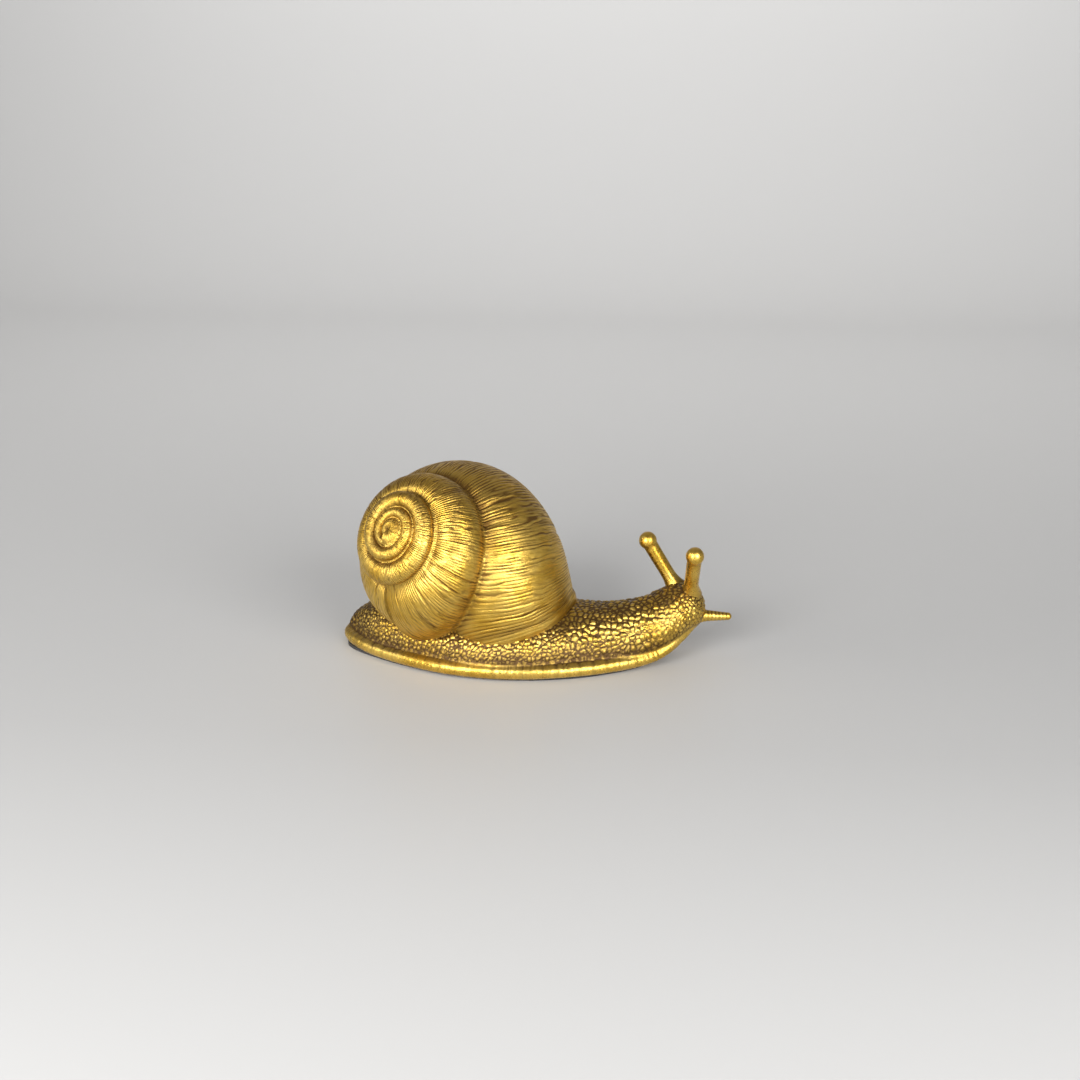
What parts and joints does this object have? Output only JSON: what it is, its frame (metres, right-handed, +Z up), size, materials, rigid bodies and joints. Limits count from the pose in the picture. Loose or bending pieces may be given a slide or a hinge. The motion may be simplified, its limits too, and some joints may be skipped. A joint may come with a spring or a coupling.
{
  "type": "snail figurine",
  "caption": "Gold-finished snail ornament with a coiled ribbed shell on a pebbled body, turned head, eye stalks, feelers and a felt-padded foot to stand on a table.",
  "frame": {"origin": "on the surface that the figurine stands on, under the middle of its foot", "axes": "+X along the foot towards the head, +Y to the snail's left, +Z up"},
  "size_m": [0.1639, 0.07, 0.0803],
  "materials": {
    "body_gold": "cast resin, metallic gold paint with a brown wash in its pebbled relief",
    "shell_gold": "cast resin, metallic gold paint with a brown wash between its growth ribs",
    "tentacle_gold": "cast resin, smooth metallic gold paint",
    "wire_steel": "plain drawn wire",
    "dowel_wood": "plain beech",
    "pad_felt": "pressed felt"
  },
  "bodies": {
    "root": {"body": "body_gold", "shell": "shell_gold", "right_eye_stalk": "tentacle_gold", "left_eye_stalk": "tentacle_gold", "right_feeler": "tentacle_gold", "left_feeler": "tentacle_gold", "right_eye_stalk_wire": "wire_steel", "left_eye_stalk_wire": "wire_steel", "right_feeler_wire": "wire_steel", "left_feeler_wire": "wire_steel", "shell_dowels": "dowel_wood", "felt_pad": "pad_felt"}
  },
  "joints": []
}
